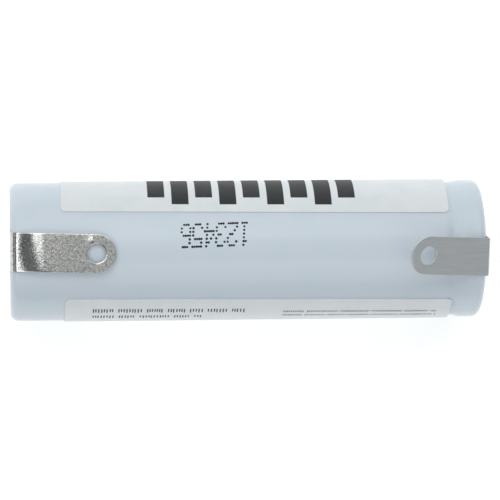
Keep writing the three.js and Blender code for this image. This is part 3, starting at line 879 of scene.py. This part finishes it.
strip_line = [bent(negative_line, negative_start, 0.05 * step) for step in range(300)]
for vertex in sleeve_mesh.verts[:outside_count]:
    x, y, height = vertex.co
    radius = math.hypot(y, height)
    angle = math.atan2(y, height)
    # slack left by the shrinking
    slack = 0.5 + 0.5 * noise.noise(Vector((x / 6, 1.4 * math.sin(angle), 1.4 * math.cos(angle))))
    pulled = SLACK * slack
    # wrinkles gathered towards each lip's edge
    if radius < SLEEVE_RADIUS - CRIMP_CORNER:
        edge = 1 - (radius - LIP_RADIUS) / (SLEEVE_RADIUS - CRIMP_CORNER - LIP_RADIUS)
        phase = LIP_WRINKLES * angle + 3 * noise.noise(Vector((0, 2 * y / radius, 2 * height / radius)))
        wrinkle = WRINKLE_HEIGHT * max(edge, 0) * (0.5 + 0.5 * math.sin(phase))
        x += wrinkle if x < 0 else -wrinkle
        pulled = 0
    vertex.co = (x, y * (1 - pulled / radius), height * (1 - pulled / radius))
    # the welded tag presses the film down under it
    if height > 0 and x < negative_end + 2.5 and abs(y) < PRESSED_WIDTH / 2:
        near = min(strip_line, key=lambda point: (point[0] - x) ** 2 + (point[1] - height) ** 2)
        out_x = -math.cos(near[2])
        out_height = math.sin(near[2])
        beyond = (x - near[0]) * out_x + (height - near[1]) * out_height
        excess = beyond + TAG_THICKNESS / 2 + PRESSED_GAP
        share = eased((PRESSED_WIDTH / 2 - abs(y)) / PRESSED_EDGE)
        if excess > 0:
            vertex.co.x -= share * excess * out_x
            vertex.co.z -= share * excess * out_height

# Shrunk PVC film: bluish white and glossy, very faintly clouded, over a barely uneven surface.
film, place = new_material("shrunk_pvc_film")
mottle = add(film, "TexNoise", {"Vector": place, "Scale": across(4), "Detail": 3, "Roughness": 0.45})
clouding = add(film, "ValToRGB", {"Fac": mottle}, stops=[(0.3, "#d1dfe7"), (0.7, "#d5dfe9")])
ripple = add(film, "TexNoise", {"Vector": place, "Scale": across(0.8), "Detail": 2})
unevenness = add(film, "Bump", {"Height": ripple, "Strength": 0.15, "Distance": 0.01 * MM})
sheen = add(film, "MapRange", {"Value": mottle, "To Min": 0.18, "To Max": 0.26})
shrunk = add(
    film,
    "BsdfPrincipled",
    {"Base Color": clouding, "Roughness": sheen, "IOR": 1.53, "Normal": unevenness},
)
add(film, "OutputMaterial", {"Surface": shrunk})

sleeve = piece("shrink_sleeve", sleeve_mesh, film, crease=60)
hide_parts("outer_sleeve")
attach(sleeve, "cell")


# Date code: six digits in dots of black ink, jetted on the shrunk sleeve before the label goes on.
# They are read from the +Y side.

CODE = "123456"
DOT_RADIUS = 0.13
DOT_SIDES = 12
INK_HEIGHT = 0.006  # above the film
DOT_SUNK = 0.02  # how far each dot starts under it
DOT_STEP = 0.22  # between the dots of a row
ROW_STEP = 0.39
GLYPH_STEP = 1.2
CODE_START = -0.2  # the first digit's left side
CODE_BASE = 2.9  # the lowest row's distance round the sleeve, from straight up towards +Y
CODE_RISE = 0.03  # how far a row climbs for each millimetre
CODE_LEAN = 0.08
DIGITS = {
    "1": ["00100", "01100", "00100", "00100", "00100", "00100", "01110"],
    "2": ["01110", "10001", "00001", "00110", "01000", "10000", "11111"],
    "3": ["01110", "10001", "00001", "00110", "00001", "10001", "01110"],
    "4": ["00010", "00110", "01010", "10010", "11111", "00010", "00010"],
    "5": ["11111", "10000", "11110", "00001", "00001", "10001", "01110"],
    "6": ["01110", "10000", "10000", "11110", "10001", "10001", "01110"],
}


def on_cell(along, around, radius):
    """The place at a distance along the cell, and one round it from straight up towards +Y."""
    angle = around / SLEEVE_RADIUS
    return (along, radius * math.sin(angle), radius * math.cos(angle))


# Ink-jet ink: near-black and half-matte, each dot a little thinner or denser than the next.
ink, place = new_material("black_jetted_ink")
density = add(ink, "TexNoise", {"Vector": place, "Scale": across(0.3), "Detail": 2})
blackness = add(ink, "ValToRGB", {"Fac": density}, stops=[(0.3, "#0d1418"), (0.7, "#1b262c")])
jetted = add(ink, "BsdfPrincipled", {"Base Color": blackness, "Roughness": 0.45, "IOR": 1.48})
add(ink, "OutputMaterial", {"Surface": jetted})

random.seed(7)

code_mesh = bmesh.new()
for place_in_code, digit in enumerate(CODE):
    for row, dots in enumerate(DIGITS[digit]):
        for column, dot in enumerate(dots):
            if dot == "0":
                continue
            along = CODE_START - GLYPH_STEP * place_in_code - DOT_STEP * column
            along -= CODE_LEAN * (6 - row) * ROW_STEP
            around = CODE_BASE - ROW_STEP * (6 - row) + CODE_RISE * along
            size = DOT_RADIUS * random.uniform(0.9, 1.1)
            rings = []
            for share, lift in ((1, -DOT_SUNK), (1, 0), (0.7, INK_HEIGHT)):
                ring = []
                for step in range(DOT_SIDES):
                    turn = 2 * math.pi * step / DOT_SIDES
                    x = along + share * size * math.cos(turn)
                    side = around + share * size * math.sin(turn)
                    ring.append(code_mesh.verts.new(on_cell(x, side, SLEEVE_RADIUS + lift)))
                rings.append(ring)
            for lower, upper in zip(rings, rings[1:]):
                join(code_mesh, lower, upper)
            code_mesh.faces.new(rings[0])
            code_mesh.faces.new(rings[-1])
bmesh.ops.recalc_face_normals(code_mesh, faces=code_mesh.faces)
date_code = piece("date_code", code_mesh, ink)
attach(date_code, "cell")


# Label: one sheet of printed white polypropylene film, wrapped round the sleeve a little askew.
# It stops short of both tags and leaves the top open, so the date code can be read.

LABEL_RADIUS = 7.31
LABEL_WALL = 0.09
LABEL_LENGTH = 40.15
LABEL_SKEW = math.radians(0.72)
LABEL_CORNER = 0.5
LABEL_EDGE = 0.015  # how much its upper edges are eased
LENGTH_STEPS = 40
AROUND_STEPS = 160
label_middle = 0.78  # along the cell
label_front = math.radians(-44.6)  # the two long edges, from straight up towards +Y
label_back = math.radians(32.6)
label_width = LABEL_RADIUS * (2 * math.pi - label_back + label_front)


def on_label(along, down, radius):
    """The place on the wrapped label at a distance along it and one down from its +Y edge."""
    sideways = down - label_width / 2
    x = label_middle + along * math.cos(LABEL_SKEW) + sideways * math.sin(LABEL_SKEW)
    around = sideways * math.cos(LABEL_SKEW) - along * math.sin(LABEL_SKEW)
    angle = label_back + (label_width / 2 + around) / LABEL_RADIUS
    return (x, radius * math.sin(angle), radius * math.cos(angle))


label_mesh = bmesh.new()
corner_steps = [LABEL_CORNER * (1 - math.cos(math.pi / 2 * step / 6)) for step in range(7)]
inner_length = LABEL_LENGTH - 2 * LABEL_CORNER
lengthwise = list(corner_steps)
lengthwise += [LABEL_CORNER + inner_length * step / LENGTH_STEPS for step in range(1, LENGTH_STEPS)]
lengthwise += [LABEL_LENGTH - step for step in reversed(corner_steps)]
layers = []
for depth, trim in ((LABEL_WALL, 0), (LABEL_EDGE, 0), (0, LABEL_EDGE)):
    radius = LABEL_RADIUS - depth
    layer = []
    for place_along in lengthwise:
        from_end = min(place_along, LABEL_LENGTH - place_along, LABEL_CORNER)
        inset = LABEL_CORNER - math.sqrt(LABEL_CORNER**2 - (LABEL_CORNER - from_end) ** 2)
        clear = max(from_end, trim) - from_end
        along = place_along - LABEL_LENGTH / 2
        along -= math.copysign(clear, along)
        width = label_width - 2 * inset - 2 * trim
        row = []
        for step in range(AROUND_STEPS + 1):
            down = inset + trim + width * step / AROUND_STEPS
            row.append(label_mesh.verts.new(on_label(along, down, radius)))
        layer.append(row)
    layers.append(layer)


def border_of(layer):
    """The vertices round the edge of a layer."""
    right_side = [row[-1] for row in layer[1:]]
    left_side = [row[0] for row in reversed(layer[1:-1])]
    return layer[0] + right_side + layer[-1][-2::-1] + left_side


for layer in (layers[0], layers[2]):
    for before, after in zip(layer, layer[1:]):
        for step in range(AROUND_STEPS):
            label_mesh.faces.new((before[step], before[step + 1], after[step + 1], after[step]))
for lower, upper in zip(layers, layers[1:]):
    join(label_mesh, border_of(lower), border_of(upper))
loose = [vertex for vertex in label_mesh.verts if not vertex.link_faces]
bmesh.ops.delete(label_mesh, geom=loose, context="VERTS")
bmesh.ops.recalc_face_normals(label_mesh, faces=label_mesh.faces)

# Polypropylene label film: whiter than the sleeve, satin, with a faint press mottle of 2 mm.
label_film, place = new_material("white_polypropylene_label")
press = add(label_film, "TexNoise", {"Vector": place, "Scale": across(2), "Detail": 4})
whiteness = add(label_film, "ValToRGB", {"Fac": press}, stops=[(0.35, "#e0e8ea"), (0.65, "#e7ecee")])
satin_skin = add(label_film, "Bump", {"Height": press, "Strength": 0.1, "Distance": 0.02 * MM})
printed_film = add(
    label_film,
    "BsdfPrincipled",
    {"Base Color": whiteness, "Roughness": 0.36, "IOR": 1.49, "Normal": satin_skin},
)
add(label_film, "OutputMaterial", {"Surface": printed_film})

label = piece("wrapped_label", label_mesh, label_film)
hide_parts("wrap_label")
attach(label, "cell")


# Label print: a bold charge gauge of solid blocks along the +Y side, and rows of filler text in plain
# strokes on the -Y side, which hold no letters.

PRINT_RADIUS = LABEL_RADIUS + INK_HEIGHT
INK_SUNK = 0.004  # how far the ink starts under the label's surface
PRINT_STEP = 0.3  # the longest face round the cell
GAUGE_START = -11.1
GAUGE_STEP = 2.47
GAUGE_BLOCKS = 9
BLOCK_WIDTH = 1.75
TALL_TOP = 0.95  # down from the label's edge
SHORT_TOP = 1.95
GAUGE_BOTTOM = 9

# Screen ink: solid black under the film's satin, with a slight grey unevenness.
print_ink, place = new_material("black_screen_ink")
cover = add(print_ink, "TexNoise", {"Vector": place, "Scale": across(0.6), "Detail": 3})
solid_black = add(print_ink, "ValToRGB", {"Fac": cover}, stops=[(0.3, "#0e1113"), (0.7, "#171b1d")])
screened = add(print_ink, "BsdfPrincipled", {"Base Color": solid_black, "Roughness": 0.5, "IOR": 1.49})
add(print_ink, "OutputMaterial", {"Surface": screened})


def print_block(mesh, left, right, top, bottom):
    """A block of ink on the label, from left to right along it and from top to bottom down it."""
    rows = max(1, math.ceil(abs(bottom - top) / PRINT_STEP))
    sheets = []
    for radius in (LABEL_RADIUS - INK_SUNK, PRINT_RADIUS):
        lines = []
        for row in range(rows + 1):
            down = top + (bottom - top) * row / rows
            lines.append([mesh.verts.new(on_label(end, down, radius)) for end in (left, right)])
        sheets.append(lines)
        for before, after in zip(lines, lines[1:]):
            mesh.faces.new((before[0], before[1], after[1], after[0]))
    edges = [[line[0] for line in lines] + [line[1] for line in reversed(lines)] for lines in sheets]
    join(mesh, *edges)


gauge_mesh = bmesh.new()
for block in range(GAUGE_BLOCKS):
    left = GAUGE_START + GAUGE_STEP * block
    top = TALL_TOP if block % 2 else SHORT_TOP
    print_block(gauge_mesh, left, left + BLOCK_WIDTH, top, GAUGE_BOTTOM)
bmesh.ops.recalc_face_normals(gauge_mesh, faces=gauge_mesh.faces)
gauge = piece("printed_gauge", gauge_mesh, print_ink)
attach(gauge, "cell")

text_mesh = bmesh.new()
for left, right, top, height, stroke in (
    (-17.2, -1.4, label_width - 1.5, 0.75, 0.13),
    (-17.2, -6.0, label_width - 2.9, 0.75, 0.13),
    (2.6, 18.6, label_width - 1.9, 0.42, 0.09),
    (2.6, 18.6, label_width - 2.8, 0.42, 0.09),
):
    along = left
    while along < right:
        word_end = min(along + random.uniform(1.4, 3.4), right)
        while along < word_end:
            tall = random.uniform(0.7, 1)
            print_block(text_mesh, along, along + stroke, top, top - height * tall)
            along += stroke * random.uniform(1.8, 2.6)
        along += stroke * 3
bmesh.ops.recalc_face_normals(text_mesh, faces=text_mesh.faces)
filler_text = piece("printed_filler_text", text_mesh, print_ink)
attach(filler_text, "cell")


# Studio: a pale floor that glows a little, soft boxes for the film and bright strips for the bent metal,
# and a camera that looks straight down from over the negative end.

FLOOR_SIZE = 3

# Backlit acrylic: a pale diffuse sheet with a faint cloud, so the cell stands on even white.
acrylic, place = new_material("backlit_pale_acrylic")
haze = add(acrylic, "TexNoise", {"Vector": place, "Scale": across(80), "Detail": 2})
pale = add(acrylic, "ValToRGB", {"Fac": haze}, stops=[(0.3, "#f1f2f2"), (0.7, "#f6f6f6")])
glow = add(
    acrylic,
    "BsdfPrincipled",
    {"Base Color": pale, "Roughness": 0.9, "Emission Color": linear("#ffffff"), "Emission Strength": 0.4},
)
add(acrylic, "OutputMaterial", {"Surface": glow})

floor_mesh = bmesh.new()
bmesh.ops.create_grid(floor_mesh, x_segments=8, y_segments=8, size=FLOOR_SIZE / 2)
floor_data = bpy.data.meshes.new("floor")
floor_mesh.to_mesh(floor_data)
floor_mesh.free()
floor_data.materials.append(acrylic)
floor = bpy.data.objects.new("floor", floor_data)
bpy.context.collection.objects.link(floor)

world = bpy.data.worlds.new("studio")
world.use_nodes = True
bpy.context.scene.world = world
world.node_tree.nodes["Background"].inputs["Color"].default_value = linear("#eef2f6")
world.node_tree.nodes["Background"].inputs["Strength"].default_value = 0.2


def soft_box(name, place, size, brightness, aim=(0, 0, 0.007)):
    """A flat light in metres that faces its aim. Brightness is what the eye meets in it."""
    light = bpy.data.lights.new(name, "AREA")
    light.shape = "RECTANGLE"
    light.size, light.size_y = size
    light.energy = 4 * size[0] * size[1] * brightness
    lamp = bpy.data.objects.new(name, light)
    toward = Vector(aim) - Vector(place)
    turn = toward.to_track_quat("-Z", "Y")
    lamp.matrix_world = Matrix.Translation(place) @ turn.to_matrix().to_4x4()
    lamp.visible_camera = False
    bpy.context.collection.objects.link(lamp)


soft_box("high_back_box", (0, 0.45, 0.6), (1.2, 0.5), 0.79)
soft_box("low_back_box", (0, 0.8, 0.28), (1.4, 0.5), 0.46)
soft_box("high_front_box", (0, -0.45, 0.6), (1.2, 0.5), 0.63)
soft_box("near_strip", (-0.087, 0.25, 0.6), (0.1, 0.44), 1.5, (-0.087, 0.25, 0))
soft_box("far_strip", (-0.45, 0, 0.6), (0.22, 0.7), 1.45, (-0.45, 0, 0))
soft_box("left_box", (-0.9, 0, 0.35), (0.9, 0.5), 0.17)
soft_box("right_box", (0.8, -0.35, 0.4), (0.9, 0.6), 0.33)
soft_box("top_box", (0.18, 0, 0.75), (0.4, 1), 0.32, (0.18, 0, 0))

CAMERA_X = -0.0248
CAMERA_HEIGHT = 0.312  # above the cell's axis
CAMERA_TILT = math.radians(-4.623)
CAMERA_TURN = math.radians(-0.512)
camera_data = bpy.data.cameras.new("camera")
camera_data.lens = 214.6
camera_data.sensor_width = 36
camera = bpy.data.objects.new("camera", camera_data)
camera.matrix_world = (
    Matrix.Translation((CAMERA_X, 0, axis_height * MM + CAMERA_HEIGHT))
    @ Matrix.Rotation(CAMERA_TILT, 4, "Y")
    @ Matrix.Rotation(CAMERA_TURN, 4, "Z")
)
bpy.context.collection.objects.link(camera)
bpy.context.scene.camera = camera
bpy.context.scene.view_settings.view_transform = "Standard"
